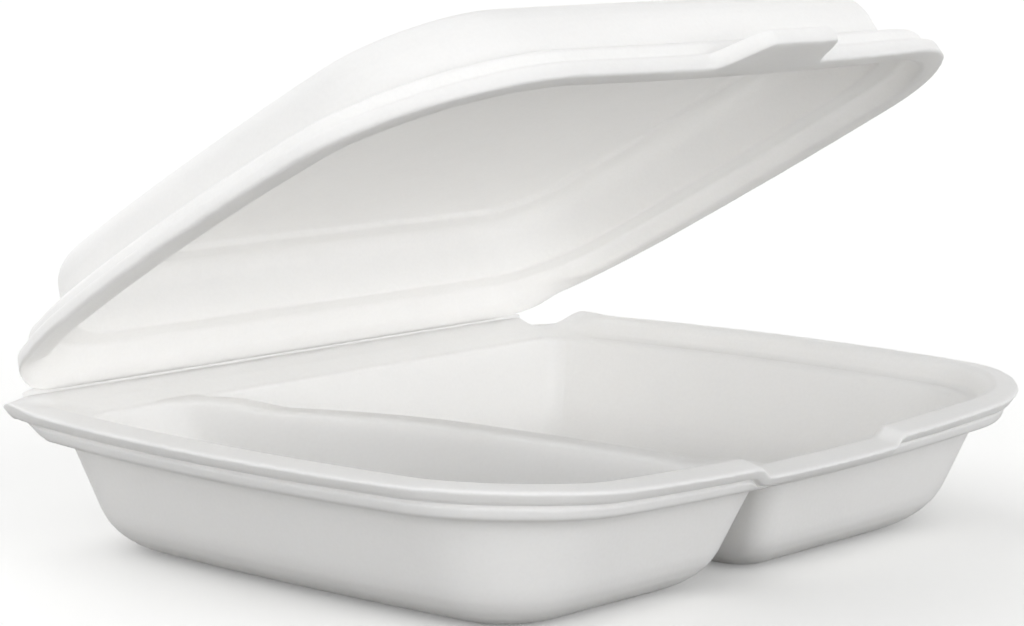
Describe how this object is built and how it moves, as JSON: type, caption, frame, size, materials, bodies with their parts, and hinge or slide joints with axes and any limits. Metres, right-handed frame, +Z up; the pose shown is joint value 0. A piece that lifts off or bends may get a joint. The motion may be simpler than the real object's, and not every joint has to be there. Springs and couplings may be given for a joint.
{
  "type": "foam clamshell container",
  "caption": "White foam takeaway clamshell: a tray with a divider between a small and a large compartment, a fold along the back and a domed lid with a front tab.",
  "frame": {"origin": "plan centre of the base, on the table, under the large compartment", "axes": "+Z up, X along the fold, the front with the tab faces -Y"},
  "size_m": [0.235, 0.1828, 0.1361],
  "materials": {
    "foam": "matte"
  },
  "bodies": {
    "base": {"base_tray": "foam"},
    "lid": {"lid": "foam"}
  },
  "joints": [
    {"name": "lid_hinge", "type": "hinge", "parent": "base", "child": "lid", "pos_m": [0, 0.09071, 0.03615], "axis": [-1, 0, 0], "range_deg": [-29, 151]}
  ]
}
